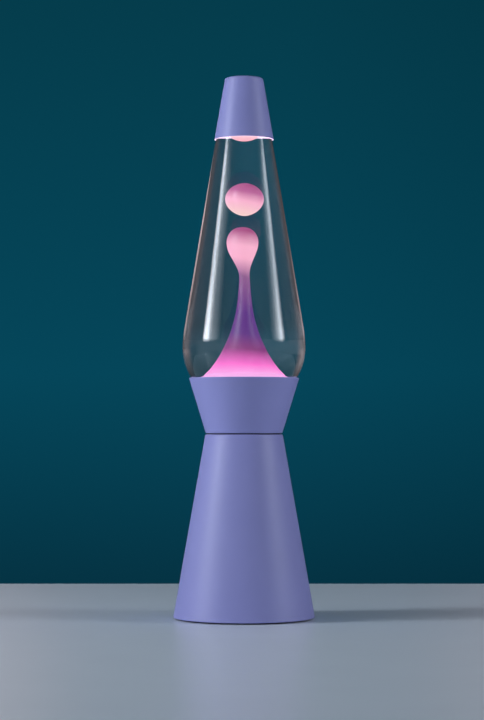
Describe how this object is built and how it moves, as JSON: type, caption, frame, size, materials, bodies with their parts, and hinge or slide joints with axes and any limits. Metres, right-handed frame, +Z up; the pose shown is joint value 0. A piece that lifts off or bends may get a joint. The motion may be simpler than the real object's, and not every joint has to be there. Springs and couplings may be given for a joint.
{
  "type": "lava lamp",
  "caption": "Table lamp with a tall tapered glass bottle of liquid and rising wax, standing in a waisted painted metal stand over a small bulb, under a loose cone cap.",
  "frame": {"origin": "bottom centre, on the surface that the rubber feet rest on", "axes": "+Z up along the lamp's axis; -Y is the front that faces the viewer and +Y the back, where the cord gland is; +X is the viewer's right"},
  "size_m": [0.0958, 0.0958, 0.368],
  "materials": {
    "lavender_paint": "satin powder coat",
    "aluminium": "bright spun",
    "dark_spacer": "matte moulded",
    "zinc_steel": "zinc plated",
    "black_rubber": "matte",
    "black_plastic": "moulded",
    "phenolic": "moulded phenolic",
    "brass": "drawn",
    "bulb_glass": "clear",
    "bulb_alloy": "pressed",
    "black_glass": "fused",
    "solder": "dull solder",
    "tungsten": "hot wire",
    "bottle_glass": "clear",
    "clear_liquid": "clear liquid",
    "pink_wax": "soft translucent wax",
    "coil_wire": "bright wire",
    "crown_metal": "lacquered tinplate",
    "liner": "soft"
  },
  "bodies": {
    "stand": {"base_cone": "lavender_paint", "neck_ring": "dark_spacer", "neck_rivets": "aluminium", "collar": "lavender_paint", "bottom_plate": "zinc_steel", "plate_lugs": "aluminium", "plate_screws": "zinc_steel", "rubber_feet": "black_rubber", "cord_gland": "black_plastic", "gland_nut": "black_plastic", "socket_bracket": "zinc_steel", "bracket_rivets": "aluminium", "socket_nipple": "zinc_steel", "nipple_nuts": "zinc_steel", "socket_body": "phenolic", "socket_shell": "brass", "socket_contact": "brass", "terminal_screws": "brass"},
    "bulb_contact": {"bulb_tip": "solder"},
    "bulb": {"bulb_glass": "bulb_glass", "bulb_shell": "bulb_alloy", "bulb_insulator": "black_glass", "bulb_stem": "bulb_glass", "bulb_filament": "tungsten", "filament_wires": "zinc_steel"},
    "bottle": {"bottle": "bottle_glass", "liquid": "clear_liquid", "wax_column": "pink_wax", "wax_coil": "coil_wire", "crown_cap": "crown_metal", "crown_liner": "liner"},
    "wax_blob": {"wax_blob": "pink_wax"},
    "top_wax_blob": {"top_wax_blob": "pink_wax"},
    "cap": {"cap": "lavender_paint"}
  },
  "joints": [
    {"name": "bulb_lift", "type": "slide", "parent": "stand", "child": "bulb_contact", "axis": [0, 0, 1], "range_m": [0, 0.0085]},
    {"name": "bulb_turn", "type": "hinge", "parent": "bulb_contact", "child": "bulb", "pos_m": [0, 0, 0.06], "axis": [0, 0, 1], "range_deg": [0, 1080]},
    {"name": "bottle_lift", "type": "slide", "parent": "stand", "child": "bottle", "axis": [0, 0, 1], "range_m": [0, 0.05]},
    {"name": "wax_blob_rise", "type": "slide", "parent": "bottle", "child": "wax_blob", "axis": [0, 0, 1], "range_m": [-0.006, 0.012]},
    {"name": "top_wax_blob_rise", "type": "slide", "parent": "bottle", "child": "top_wax_blob", "axis": [0, 0, 1], "range_m": [-0.012, 0]},
    {"name": "cap_lift", "type": "slide", "parent": "bottle", "child": "cap", "axis": [0, 0, 1], "range_m": [0, 0.045]}
  ],
  "couplings": [
    {"joint": "bulb_lift", "follows": "bulb_turn", "m_per_rad": 0.00044913}
  ]
}
